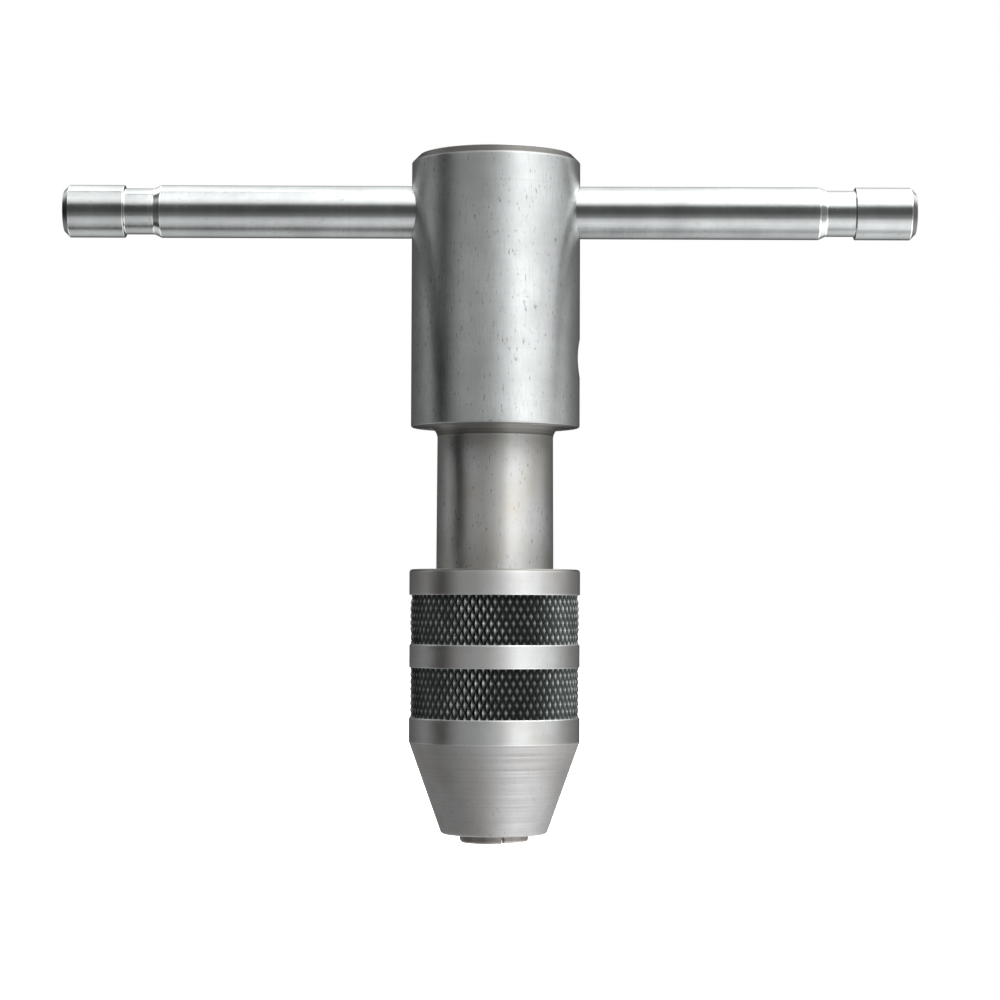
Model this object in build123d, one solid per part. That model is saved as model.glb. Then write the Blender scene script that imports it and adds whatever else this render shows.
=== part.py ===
from build123d import *
import math
import os

# Ratchet tap wrench with a sliding cross bar. Millimetres, +Z up.
# The origin is on the spindle's axis, in the plane of the longest jaws' tips, and the cross bar runs along X.
# The tool hangs jaws down, as it is held in use; -Y is its front.

# ---- driving dimensions -------------------------------------------------------------------------------
INCH = 25.4

# heights of the main sections, measured up from the jaw tips
TIP_PROTRUSION = 1.25  # jaw tips below the sleeve's nose
SLEEVE_LENGTH = 39.52
NECK_LENGTH = 21.35  # from the sleeve's top to the head's underside
HEAD_LENGTH = 41.1
NOSE_Z = TIP_PROTRUSION
SLEEVE_TOP_Z = NOSE_Z + SLEEVE_LENGTH
HEAD_Z = SLEEVE_TOP_Z + NECK_LENGTH
HEAD_TOP_Z = HEAD_Z + HEAD_LENGTH

# head
HEAD_R = 1.0 * INCH / 2
HEAD_TOP_CHAMFER = 1.2
HEAD_BOTTOM_CHAMFER = 0.3
FLANGE_BORE_R = 9.75
FLANGE_BORE_DEPTH = 4.5
STUB_BORE_R = 7.0
STUB_BORE_TOP_Z = HEAD_Z + 22.0
HOLE_RIM_CHAMFER = 0.25
RIM_SEARCH_R = 0.9 * HEAD_R  # the cross hole's rims lie farther out than this

# cross bar
BAR_R = 5 / 16 * INCH / 2
BAR_LENGTH = 128.4
BAR_BELOW_TOP = 8.56  # from the head's top face to the bar's axis
BAR_Z = HEAD_TOP_Z - BAR_BELOW_TOP
BAR_REST_X = -0.9  # the bar stands slid a little to the left
BAR_RUNNING_CLEARANCE = 0.04
BAR_END_CHAMFER = 0.85
KNOB_LENGTH = 9.1
GROOVE_DEPTH = 0.5
GROOVE_LENGTH = 4.3
SHOULDER_LENGTH = 0.2
RAMP_LENGTH = 1.05

# ball detent that holds the bar, in a radial hole at the back of the head
BALL_R = 1.75
BALL_GAP = 0.02
DETENT_HOLE_R = 1.80
DETENT_SCREW_R = 2.0
DETENT_SCREW_LENGTH = 2.2
DETENT_SCREW_OUTER_Y = 12.3
DETENT_HEX_FLATS = 2.0
DETENT_HEX_DEPTH = 1.2
DETENT_SPRING_R = 1.2
DETENT_SPRING_WIRE_R = 0.2
DETENT_SPRING_START_Y = 7.30
DETENT_SPRING_TURNS = 4

# ratchet: notches in the spindle's stub, and the pawl in its selector at the right of the head
RATCHET_TEETH = 12
STUB_R = 6.9
NOTCH_WIDTH = 1.9
NOTCH_FLOOR_R = 5.8
NOTCH_HALF_LENGTH = 2.6
PAWL_Z = HEAD_Z + 10.4
PAWL_TIP_R = 0.85
PAWL_TIP_X = 6.0
PAWL_BEVEL = 0.9
PAWL_BODY_R = 1.6
PAWL_BODY_HALF_FLATS = 1.1
PAWL_BODY_X = 8.15
PAWL_BODY_LENGTH = 1.1
POCKET_CLEARANCE = 0.05
POCKET_END_X = 10.9
SELECTOR_BORE_R = 2.9
SELECTOR_R = 2.85
SELECTOR_X = 8.1
SELECTOR_SHOULDER_X = 11.45
SELECTOR_BOSS_R = 2.3
SELECTOR_FACE_X = 12.1
SELECTOR_SLOT_WIDTH = 0.8
SELECTOR_SLOT_DEPTH = 0.6
SELECTOR_RING_R = (2.35, 3.25)
SELECTOR_RING_X = (11.5, 12.0)
PAWL_SPRING_R = 0.85
PAWL_SPRING_WIRE_R = 0.14
PAWL_SPRING_TURNS = 3

# spindle
FLANGE_R = 9.70
FLANGE_TOP_Z = HEAD_Z + 3.65
WASHER_R = (7.1, 9.65)
WASHER_THICKNESS = 0.8
STUB_TOP_Z = STUB_BORE_TOP_Z - 0.2
SPINDLE_RING_Z = (HEAD_Z + 18.45, HEAD_Z + 19.45)
SPINDLE_RING_R = (6.4, 7.5)
RING_CLEARANCE = 0.05
NECK_TOP_R = 8.70
NECK_BOTTOM_R = 8.80
FLARE_R = 2.0  # radius of the concave flare under the head
FLARE_EDGE_R = 9.65
FLARE_EDGE_HEIGHT = 0.05  # from the flare's edge to the flange's full radius
SPINDLE_END_CHAMFER = 0.3
SHANK_BORE_R = 4.2
SHANK_BORE_TOP_Z = 30.0
DRILL_POINT_DEG = 118

# chuck sleeve
SLEEVE_BORE_R = 8.845
BORE_CHAMFER = 0.4
BAND_R = 12.82
KNURL_R = 12.52
BAND_1, KNURL_1, BAND_2, KNURL_2, BAND_3 = 3.84, 7.37, 3.48, 7.47, 3.63
BAND_EDGE_CHAMFER = 0.15
RELIEF_R = 12.4  # narrow relief under the top band, where the knurling tool ran out
RELIEF_LENGTH = 0.9
TOP_ROUNDING = 0.45
NOSE_R = 7.90
NOSE_ROUNDING = 0.6
CONE_BORE_R = 5.85  # radius of the cone inside the nose, at the nose's end
CONE_ANGLE = 20.0
CONE_SLOPE = math.tan(math.radians(CONE_ANGLE))

# jaws
JAW_COUNT = 4
JAW_1_ANGLE = -119.4  # direction of the first jaw, from +X towards +Y
SOCKET_HALF_FLATS = 2.85
JAW_TIP_R = 5.15
JAW_TIP_ROUNDING = 0.35
JAW_SHORT_BY = 0.15  # the second and fourth jaw stand this much higher
JAW_GAP = 0.42  # between neighbouring jaws as the chuck stands
JAW_CONE_CLEARANCE = 0.13  # leaves room for the jaws' sides, which close up less than their middles
JAW_STEP_Z = 1.6
JAW_BODY_R = 7.95
JAW_BODY_TOP_Z = 10.7
TONGUE_HALF_WIDTH = 2.25
TONGUE_TOP_Z = 15.3
TONGUE_INNER_R = 4.3
JAW_SPRING_POCKET_R = 0.85
JAW_SPRING_PLACE_R = 5.65
JAW_SPRING_Z = 6.2
JAW_SPRING_NEAR_DEPTH = 1.6
JAW_SPRING_FAR_DEPTH = 2.1
JAW_SPRING_R = 0.57
JAW_SPRING_WIRE_R = 0.13
JAW_SPRING_TURNS = 4

# the spindle's slotted end, which carries the jaws
CARRIER_Z = 10.8
CARRIER_SLOT_HALF_WIDTH = 2.30
CARRIER_SLOT_TOP_Z = 15.4
UNDERCUT_R = 8.0
UNDERCUT_Z = (15.6, 19.9)

# ring that keeps the sleeve on the spindle
STOP_RING_R = (8.1, 9.5)
STOP_RING_Z = (17.9, 18.9)

RING_MOUTH_DEG = 50  # opening of each snap ring
FAR = 40.0  # a length well past the tool's diameter, for cutting tools
PAST = 1.0  # a cutting tool reaches this much past the face that it starts from


# ---- helpers ------------------------------------------------------------------------------------------
def turned(corners):
    """A solid turned about Z from (radius, height) corners; (radius, height, arc radius) ends an arc."""
    edges = []
    for start, end in zip(corners, corners[1:] + corners[:1]):
        a = (start[0], 0, start[1])
        b = (end[0], 0, end[1])
        if len(end) == 3:
            edges.append(Edge.make_three_point_arc(a, arc_middle(start, end), b))
        else:
            edges.append(Edge.make_line(a, b))
    return revolve(make_face(edges), Axis.Z, 360)


def arc_middle(start, end):
    """Middle point of the arc from start to end; a negative arc radius bends it the other way."""
    (r1, z1), (r2, z2), radius = start[:2], end[:2], end[2]
    chord = math.hypot(r2 - r1, z2 - z1)
    rise = abs(radius) - math.sqrt(radius * radius - chord * chord / 4)
    side = math.copysign(1, radius)
    normal = ((z1 - z2) / chord * side, (r2 - r1) / chord * side)
    return ((r1 + r2) / 2 + normal[0] * rise, 0, (z1 + z2) / 2 + normal[1] * rise)


def tube(inner_r, outer_r, z0, z1):
    """A plain ring about Z."""
    return turned([(inner_r, z0), (outer_r, z0), (outer_r, z1), (inner_r, z1)])


def rod_x(radius, x0, x1, z=0.0):
    """A cylinder along X."""
    return Pos((x0 + x1) / 2, 0, z) * Rot(0, 90, 0) * Cylinder(radius, x1 - x0)


def rod_y(radius, y0, y1, z=0.0):
    """A cylinder along Y."""
    return Pos(0, (y0 + y1) / 2, z) * Rot(90, 0, 0) * Cylinder(radius, y1 - y0)


def rod_z(radius, z0, z1):
    """A cylinder along Z."""
    return Pos(0, 0, (z0 + z1) / 2) * Cylinder(radius, z1 - z0)


def block(x, y, z):
    """A box between three (low, high) pairs."""
    middle = [(low + high) / 2 for low, high in (x, y, z)]
    size = [high - low for low, high in (x, y, z)]
    return Pos(*middle) * Box(*size)


def snap_ring(radii, heights, mouth_angle):
    """A flat snap ring about Z with its mouth towards mouth_angle."""
    ring = tube(*radii, *heights)
    half_mouth = math.tan(math.radians(RING_MOUTH_DEG / 2)) * FAR
    mouth = make_face(Polyline((0, 0), (FAR, half_mouth), (FAR, -half_mouth), close=True))
    cut = extrude(mouth, heights[1] - heights[0] + 2 * PAST)
    return ring - Pos(0, 0, heights[0] - PAST) * Rot(0, 0, mouth_angle) * cut


def coil_spring(coil_r, wire_r, length, turns):
    """A coil spring that stands on the origin along +Z; its wire's ends lie wire_r inside each end."""
    rise = length - 2 * wire_r
    path = Helix(pitch=rise / turns, height=rise, radius=coil_r, center=(0, 0, wire_r))
    section = Plane(origin=path @ 0, z_dir=path % 0) * Circle(wire_r)
    return sweep(section, path=path, is_frenet=True)


def flatted(radius, half_flats, x0, x1, z):
    """A rod along X with two flats, at +Y and -Y."""
    return rod_x(radius, x0, x1, z) & block((x0, x1), (-half_flats, half_flats), (z - FAR, z + FAR))


# ---- head ---------------------------------------------------------------------------------------------
def is_cross_hole_rim(box):
    """True for an edge that lies where the cross hole leaves the head's round side."""
    reach = BAR_R + 2 * BAR_RUNNING_CLEARANCE
    on_side = min(abs(box.min.X), abs(box.max.X)) > RIM_SEARCH_R and box.min.X * box.max.X > 0
    return on_side and max(abs(box.min.Z - BAR_Z), abs(box.max.Z - BAR_Z), box.max.Y, -box.min.Y) < reach


def make_head():
    body = turned(
        [
            (0, HEAD_Z),
            (HEAD_R - HEAD_BOTTOM_CHAMFER, HEAD_Z),
            (HEAD_R, HEAD_Z + HEAD_BOTTOM_CHAMFER),
            (HEAD_R, HEAD_TOP_Z - HEAD_TOP_CHAMFER),
            (HEAD_R - HEAD_TOP_CHAMFER, HEAD_TOP_Z),
            (0, HEAD_TOP_Z),
        ]
    )
    body -= rod_z(FLANGE_BORE_R, HEAD_Z, HEAD_Z + FLANGE_BORE_DEPTH)
    body -= rod_z(STUB_BORE_R, HEAD_Z, STUB_BORE_TOP_Z)
    ring_low, ring_high = SPINDLE_RING_Z
    body -= rod_z(SPINDLE_RING_R[1] + RING_CLEARANCE, ring_low - RING_CLEARANCE, ring_high + RING_CLEARANCE)
    body -= rod_x(BAR_R + BAR_RUNNING_CLEARANCE, -FAR, FAR, BAR_Z)
    body -= rod_x(SELECTOR_BORE_R, 0, FAR, PAWL_Z)
    body -= rod_x(SELECTOR_RING_R[1], SELECTOR_RING_X[0], SELECTOR_RING_X[1], PAWL_Z)
    body -= rod_y(DETENT_HOLE_R, 0, FAR, BAR_Z)
    body -= rod_y(DETENT_SCREW_R, DETENT_SCREW_OUTER_Y - DETENT_SCREW_LENGTH, FAR, BAR_Z)
    rims = [edge for edge in body.edges() if is_cross_hole_rim(edge.bounding_box())]
    return chamfer(rims, HOLE_RIM_CHAMFER)


# ---- cross bar and its detent -------------------------------------------------------------------------
def make_handle_bar():
    half = BAR_LENGTH / 2
    groove_r = BAR_R - GROOVE_DEPTH
    knob_start = half - KNOB_LENGTH
    groove_outer = knob_start - SHOULDER_LENGTH
    groove_inner = groove_outer - GROOVE_LENGTH
    upper = [
        (BAR_R, groove_inner - RAMP_LENGTH),
        (groove_r, groove_inner),
        (groove_r, groove_outer),
        (BAR_R, knob_start),
        (BAR_R, half - BAR_END_CHAMFER),
        (BAR_R - BAR_END_CHAMFER, half),
        (0, half),
    ]
    lower = [(radius, -height) for radius, height in reversed(upper)]
    return Pos(BAR_REST_X, 0, BAR_Z) * Rot(0, 90, 0) * turned(lower + upper)


def make_detent_ball():
    return Pos(0, BAR_R + BALL_GAP + BALL_R, BAR_Z) * Sphere(BALL_R)


def make_detent_spring():
    length = DETENT_SCREW_OUTER_Y - DETENT_SCREW_LENGTH - (DETENT_SPRING_START_Y - DETENT_SPRING_WIRE_R)
    spring = coil_spring(DETENT_SPRING_R, DETENT_SPRING_WIRE_R, length, DETENT_SPRING_TURNS)
    return Pos(0, DETENT_SPRING_START_Y - DETENT_SPRING_WIRE_R, BAR_Z) * Rot(-90, 0, 0) * spring


def make_detent_screw():
    screw = rod_y(DETENT_SCREW_R, DETENT_SCREW_OUTER_Y - DETENT_SCREW_LENGTH, DETENT_SCREW_OUTER_Y, BAR_Z)
    hexagon = extrude(RegularPolygon(DETENT_HEX_FLATS / 2, 6, major_radius=False), DETENT_HEX_DEPTH)
    return screw - Pos(0, DETENT_SCREW_OUTER_Y - DETENT_HEX_DEPTH, BAR_Z) * Rot(-90, 0, 0) * hexagon


# ---- ratchet ------------------------------------------------------------------------------------------
def make_pawl_selector():
    body = rod_x(SELECTOR_R, SELECTOR_X, SELECTOR_SHOULDER_X, PAWL_Z)
    body += rod_x(SELECTOR_BOSS_R, SELECTOR_SHOULDER_X, SELECTOR_FACE_X, PAWL_Z)
    body -= flatted(
        PAWL_BODY_R + POCKET_CLEARANCE,
        PAWL_BODY_HALF_FLATS + POCKET_CLEARANCE,
        SELECTOR_X,
        POCKET_END_X,
        PAWL_Z,
    )
    half_slot = SELECTOR_SLOT_WIDTH / 2
    slot_x = (SELECTOR_FACE_X - SELECTOR_SLOT_DEPTH, SELECTOR_FACE_X)
    return body - block(slot_x, (-FAR, FAR), (PAWL_Z - half_slot, PAWL_Z + half_slot))


def make_selector_ring():
    low, high = SELECTOR_RING_X
    ring = snap_ring(SELECTOR_RING_R, (-(high - low) / 2, (high - low) / 2), 0)
    return Pos((low + high) / 2, 0, PAWL_Z) * Rot(0, 90, 0) * ring


def make_pawl():
    body = flatted(PAWL_BODY_R, PAWL_BODY_HALF_FLATS, PAWL_BODY_X, PAWL_BODY_X + PAWL_BODY_LENGTH, PAWL_Z)
    tip = rod_x(PAWL_TIP_R, PAWL_TIP_X, PAWL_BODY_X, PAWL_Z)
    bevel = make_face(
        Polyline(
            (PAWL_TIP_X - PAST, -PAWL_TIP_R),
            (PAWL_TIP_X, -PAWL_TIP_R + PAWL_BEVEL / 2),
            (PAWL_TIP_X + PAWL_BEVEL, PAWL_TIP_R),
            (PAWL_TIP_X + PAWL_BEVEL, 2 * PAWL_TIP_R),
            (PAWL_TIP_X - PAST, 2 * PAWL_TIP_R),
            close=True,
        )
    )
    return body + (tip - Pos(0, 0, PAWL_Z - 2 * PAWL_TIP_R) * extrude(bevel, 4 * PAWL_TIP_R))


def make_pawl_spring():
    start = PAWL_BODY_X + PAWL_BODY_LENGTH
    spring = coil_spring(PAWL_SPRING_R, PAWL_SPRING_WIRE_R, POCKET_END_X - start, PAWL_SPRING_TURNS)
    return Pos(start, 0, PAWL_Z) * Rot(0, 90, 0) * spring


# ---- spindle ------------------------------------------------------------------------------------------
def make_spindle():
    flare_width = FLARE_EDGE_R - NECK_TOP_R
    flare_height = math.sqrt(FLARE_R**2 - (FLARE_R - flare_width) ** 2)
    body = turned(
        [
            (0, CARRIER_Z),
            (NECK_BOTTOM_R - SPINDLE_END_CHAMFER, CARRIER_Z),
            (NECK_BOTTOM_R, CARRIER_Z + SPINDLE_END_CHAMFER),
            (NECK_BOTTOM_R, UNDERCUT_Z[0]),
            (UNDERCUT_R, UNDERCUT_Z[0]),
            (UNDERCUT_R, UNDERCUT_Z[1]),
            (NECK_BOTTOM_R, UNDERCUT_Z[1]),
            (NECK_BOTTOM_R, SLEEVE_TOP_Z),
            (NECK_TOP_R, HEAD_Z - flare_height),
            (FLARE_EDGE_R, HEAD_Z, FLARE_R),
            (FLANGE_R, HEAD_Z + FLARE_EDGE_HEIGHT),
            (FLANGE_R, FLANGE_TOP_Z),
            (STUB_R, FLANGE_TOP_Z),
            (STUB_R, STUB_TOP_Z),
            (0, STUB_TOP_Z),
        ]
    )
    ring_low, ring_high = SPINDLE_RING_Z
    body -= tube(SPINDLE_RING_R[0], STUB_R + PAST, ring_low - RING_CLEARANCE, ring_high + RING_CLEARANCE)
    notch = block(
        (NOTCH_FLOOR_R, STUB_R + PAST),
        (-NOTCH_WIDTH / 2, NOTCH_WIDTH / 2),
        (PAWL_Z - NOTCH_HALF_LENGTH, PAWL_Z + NOTCH_HALF_LENGTH),
    )
    for tooth in range(RATCHET_TEETH):
        body -= Rot(0, 0, tooth * 360 / RATCHET_TEETH) * notch
    drill_point = SHANK_BORE_R / math.tan(math.radians(DRILL_POINT_DEG / 2))
    body -= turned(
        [
            (0, CARRIER_Z - PAST),
            (SHANK_BORE_R, CARRIER_Z - PAST),
            (SHANK_BORE_R, SHANK_BORE_TOP_Z),
            (0, SHANK_BORE_TOP_Z + drill_point),
        ]
    )
    half = CARRIER_SLOT_HALF_WIDTH
    slot = block((-FAR, FAR), (-half, half), (CARRIER_Z - PAST, CARRIER_SLOT_TOP_Z))
    for direction in (JAW_1_ANGLE, JAW_1_ANGLE + 90):
        body -= Rot(0, 0, direction) * slot
    return body


def make_spindle_ring():
    return snap_ring(SPINDLE_RING_R, SPINDLE_RING_Z, 90)


def make_thrust_washer():
    top = HEAD_Z + FLANGE_BORE_DEPTH
    return tube(*WASHER_R, top - WASHER_THICKNESS, top)


# ---- chuck sleeve -------------------------------------------------------------------------------------
def make_sleeve():
    cone_top = NOSE_Z + SLEEVE_LENGTH - BAND_1 - KNURL_1 - BAND_2 - KNURL_2 - BAND_3
    lean = math.atan2(BAND_R - NOSE_R, cone_top - NOSE_Z)
    tangent = NOSE_ROUNDING * math.tan((math.pi / 2 - lean) / 2)
    corners = [
        (CONE_BORE_R, NOSE_Z),
        (NOSE_R - tangent, NOSE_Z),
        (NOSE_R + tangent * math.sin(lean), NOSE_Z + tangent * math.cos(lean), -NOSE_ROUNDING),
        (BAND_R, cone_top),
    ]
    height = cone_top
    edge = BAND_EDGE_CHAMFER
    for band, knurl in ((BAND_3, KNURL_2), (BAND_2, KNURL_1)):
        height += band
        corners += [(BAND_R, height - edge), (BAND_R - edge, height), (KNURL_R, height)]
        height += knurl
        if knurl == KNURL_1:
            relief_z = height - RELIEF_LENGTH
            corners += [(KNURL_R, relief_z), (RELIEF_R, relief_z), (RELIEF_R, height)]
        else:
            corners += [(KNURL_R, height)]
        corners += [(BAND_R - edge, height), (BAND_R, height + edge)]
    corners += [
        (BAND_R, SLEEVE_TOP_Z - TOP_ROUNDING),
        (BAND_R - TOP_ROUNDING, SLEEVE_TOP_Z, -TOP_ROUNDING),
        (SLEEVE_BORE_R + BORE_CHAMFER, SLEEVE_TOP_Z),
        (SLEEVE_BORE_R, SLEEVE_TOP_Z - BORE_CHAMFER),
    ]
    groove_low, groove_high = STOP_RING_Z
    groove_r = STOP_RING_R[1] + RING_CLEARANCE
    corners += [
        (SLEEVE_BORE_R, groove_high + RING_CLEARANCE),
        (groove_r, groove_high + RING_CLEARANCE),
        (groove_r, groove_low - RING_CLEARANCE),
        (SLEEVE_BORE_R, groove_low - RING_CLEARANCE),
        (SLEEVE_BORE_R, NOSE_Z + (SLEEVE_BORE_R - CONE_BORE_R) / CONE_SLOPE),
    ]
    return turned(corners)


def make_sleeve_stop_ring():
    return snap_ring(STOP_RING_R, STOP_RING_Z, 90)


# ---- jaws ---------------------------------------------------------------------------------------------
def jaw_angle(number):
    return JAW_1_ANGLE + 90 * (number - 1)


def cone_back_r(height):
    """Radius of a jaw's conical back, which bears on the cone in the sleeve."""
    return CONE_BORE_R - JAW_CONE_CLEARANCE + CONE_SLOPE * (height - NOSE_Z)


def spring_place(side):
    """Where a jaw's spring pocket starts, on its side face; +Z runs along the spring, into the next jaw."""
    along = Rot(0, 0, side * 45) * Pos(JAW_SPRING_PLACE_R, 0, JAW_SPRING_Z)
    return along * Rot(-90 * side, 0, 0)


def make_jaw(number):
    tip_z = JAW_SHORT_BY if number % 2 == 0 else 0.0
    back_top_z = NOSE_Z + (JAW_BODY_R - CONE_BORE_R + JAW_CONE_CLEARANCE) / CONE_SLOPE
    body = turned(
        [
            (0, tip_z),
            (JAW_TIP_R - JAW_TIP_ROUNDING, tip_z),
            (JAW_TIP_R, tip_z + JAW_TIP_ROUNDING, -JAW_TIP_ROUNDING),
            (JAW_TIP_R, JAW_STEP_Z),
            (cone_back_r(JAW_STEP_Z), JAW_STEP_Z),
            (JAW_BODY_R, back_top_z),
            (JAW_BODY_R, TONGUE_TOP_Z),
            (0, TONGUE_TOP_Z),
        ]
    )
    apex = JAW_GAP / 2 * math.sqrt(2)
    wedge = make_face(
        Polyline(
            (SOCKET_HALF_FLATS, SOCKET_HALF_FLATS - apex),
            (FAR, FAR - apex),
            (FAR, apex - FAR),
            (SOCKET_HALF_FLATS, apex - SOCKET_HALF_FLATS),
            close=True,
        )
    )
    half = TONGUE_HALF_WIDTH
    tongue = block((TONGUE_INNER_R, FAR), (-half, half), (JAW_BODY_TOP_Z, TONGUE_TOP_Z))
    jaw = body & (extrude(wedge, JAW_BODY_TOP_Z) + tongue)
    for side, depth in ((1, JAW_SPRING_NEAR_DEPTH), (-1, JAW_SPRING_FAR_DEPTH)):
        reach = JAW_GAP / 2 + depth
        jaw -= spring_place(side) * Pos(0, 0, -reach / 2) * Cylinder(JAW_SPRING_POCKET_R, reach)
    return Rot(0, 0, jaw_angle(number)) * jaw


def make_jaw_spring(number):
    reach = JAW_GAP / 2 + JAW_SPRING_NEAR_DEPTH
    spring = coil_spring(JAW_SPRING_R, JAW_SPRING_WIRE_R, 2 * reach, JAW_SPRING_TURNS)
    return Rot(0, 0, jaw_angle(number)) * spring_place(1) * Pos(0, 0, -reach) * spring


# ---- one STEP file for each piece ---------------------------------------------------------------------
pieces = {
    "head": make_head(),
    "handle_bar": make_handle_bar(),
    "detent_ball": make_detent_ball(),
    "detent_spring": make_detent_spring(),
    "detent_screw": make_detent_screw(),
    "pawl_selector": make_pawl_selector(),
    "selector_ring": make_selector_ring(),
    "pawl": make_pawl(),
    "pawl_spring": make_pawl_spring(),
    "spindle": make_spindle(),
    "spindle_ring": make_spindle_ring(),
    "thrust_washer": make_thrust_washer(),
    "sleeve": make_sleeve(),
    "sleeve_stop_ring": make_sleeve_stop_ring(),
}
for number in range(1, JAW_COUNT + 1):
    pieces[f"jaw_{number}"] = make_jaw(number)
    pieces[f"jaw_spring_{number}"] = make_jaw_spring(number)

os.makedirs("parts", exist_ok=True)
for name, solid in pieces.items():
    export_step(solid, f"parts/{name}.step")
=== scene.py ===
import math
import random

import bmesh
import bpy
from mathutils import Matrix, Vector


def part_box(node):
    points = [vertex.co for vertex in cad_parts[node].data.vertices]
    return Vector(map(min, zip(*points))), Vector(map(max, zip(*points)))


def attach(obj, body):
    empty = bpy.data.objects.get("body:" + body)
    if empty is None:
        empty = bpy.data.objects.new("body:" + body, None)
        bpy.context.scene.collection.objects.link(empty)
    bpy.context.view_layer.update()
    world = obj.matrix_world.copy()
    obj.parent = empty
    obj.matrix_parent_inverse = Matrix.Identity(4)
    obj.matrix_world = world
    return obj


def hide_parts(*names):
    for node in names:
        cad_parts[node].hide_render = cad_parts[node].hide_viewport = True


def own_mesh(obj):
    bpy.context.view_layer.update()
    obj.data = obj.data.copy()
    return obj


# A ratchet tap wrench: head, sliding cross bar, neck, knurled chuck sleeve and jaws.
# Metres, +Z up, -Y in front. Lengths are in millimetres unless they say otherwise; MM turns them into metres.
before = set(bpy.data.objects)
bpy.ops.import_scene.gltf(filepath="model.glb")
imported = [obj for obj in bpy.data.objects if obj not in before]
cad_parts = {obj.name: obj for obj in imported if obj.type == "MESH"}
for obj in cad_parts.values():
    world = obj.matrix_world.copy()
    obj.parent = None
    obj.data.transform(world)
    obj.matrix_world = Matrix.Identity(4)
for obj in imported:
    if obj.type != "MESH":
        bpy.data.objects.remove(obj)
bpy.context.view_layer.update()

MM = 0.001

# ---- places and sizes in millimetres, taken from the frame where it has them --------------------------


def box_mm(node):
    low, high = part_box(node)
    return [value / MM for value in low], [value / MM for value in high]


head_low, head_high = box_mm("head")
sleeve_low, sleeve_high = box_mm("sleeve")
spindle_low, spindle_high = box_mm("spindle")
bar_low, bar_high = box_mm("handle_bar")
washer_low, washer_high = box_mm("thrust_washer")
ring_low, ring_high = box_mm("spindle_ring")
stop_low, stop_high = box_mm("sleeve_stop_ring")
selector_low, selector_high = box_mm("pawl_selector")
selector_ring_low, selector_ring_high = box_mm("selector_ring")
ball_low, ball_high = box_mm("detent_ball")
screw_low, screw_high = box_mm("detent_screw")

HEAD_Z, HEAD_TOP_Z = head_low[2], head_high[2]
HEAD_R = head_high[0]
NOSE_Z, SLEEVE_TOP_Z = sleeve_low[2], sleeve_high[2]
BAND_R = sleeve_high[0]
BAR_R = bar_high[1]
BAR_Z = (bar_low[2] + bar_high[2]) / 2
BAR_X = (bar_low[0] + bar_high[0]) / 2
BAR_HALF = (bar_high[0] - bar_low[0]) / 2
PAWL_Z = (selector_low[2] + selector_high[2]) / 2

# clearances and details that the turned pieces share with their neighbours
RUNNING = 0.04
RING_CLEARANCE = 0.05
HEAD_CHAMFER = 1.2
HOLE_RIM = 0.25  # chamfer of the cross hole and of the detent's hole
SELECTOR_BORE_R = 2.9
# where the two radial holes start, measured from the axis, inside the wider holes that they run into
SELECTOR_BORE_START = 3.0
DETENT_HOLE_START = 2.0
SELECTOR_RIM = 0.15
GROOVE_END_CLEARANCE = 0.02
FLANGE_R = spindle_high[0]
FLANGE_EDGE = 0.05  # the flare's edge lies this much inside and below the flange's corner
SPINDLE_RING_INNER_R = 6.4
STUB_R = 6.9
STUB_BORE_R = 7.0
STUB_BORE_TOP_Z = spindle_high[2] + 0.2
NECK_TOP_R = 8.70
NECK_R = 8.80
FLARE_R = 2.0
SHANK_BORE_R = 4.2
SHANK_BORE_TOP_Z = 30.0
DRILL_POINT = 2.5
UNDERCUT_R = 8.0
UNDERCUT_Z = (15.6, 19.9)
CARRIER_SLOT_TOP_Z = 15.4
CARRIER_SLOT_WIDTH = 4.6
JAW_1_ANGLE = -119.4
RATCHET_TEETH = 12
NOTCH_WIDTH = 1.9
NOTCH_FLOOR_R = 5.8
NOTCH_HALF_LENGTH = 2.6

# the cross bar's ends
KNOB_LENGTH = 9.1
SHOULDER_LENGTH = 0.2
GROOVE_LENGTH = 4.3
GROOVE_DEPTH = 0.5
RAMP_LENGTH = 1.05
BAR_CHAMFER = 0.85

# the sleeve's cone, bands and knurled zones, from the bottom up; the top band is the rest
CONE_LENGTH = 13.73
BAND_3 = 3.63
KNURL_2 = 7.47
BAND_2 = 3.48
KNURL_1 = 7.37
NOSE_R = 7.90
BAND_EDGE = 0.12
SLEEVE_BORE_R = 8.845
BORE_CHAMFER = 0.4
CONE_BORE_R = 5.85
CONE_BORE_SLOPE = math.tan(math.radians(20))
NOSE_BORE_CHAMFER = 0.3
KNURL_CREST_R = 12.66
KNURL_START_R = 12.48  # the knurling starts shallower under the top band
KNURL_RUNOUT = 1.6  # over this length it reaches its full height
KNURL_DEPTH = 0.34
KNURL_FLAT = 0.86  # a crest is flat above this share of its height
KNURL_DAMAGE = 0.06  # the most that a place on a crest is worn down, as a share of its height
KNURL_AROUND = 70
KNURL_STEPS = 8  # grid columns to each diamond
KNURL_ROWS = 28

SEGMENTS = 256
CUTTER_SEGMENTS = 96
FILLET_PIECES = 4
FLARE_PIECES = 8
SHARP_DEG = 28
KNURL_SHARP_DEG = 24
HIGHLIGHT_WIDTH = 0.09  # how far the painted highlight of an edge reaches onto the faces beside it
CUT_HIGHLIGHT = 0.6  # how brightly the walls and rims of the round holes are painted as highlight
FAR = 20.0  # past the tool's side
PAST = 1.0  # a cutter reaches this much past the face that it starts from
random.seed(7)


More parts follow.
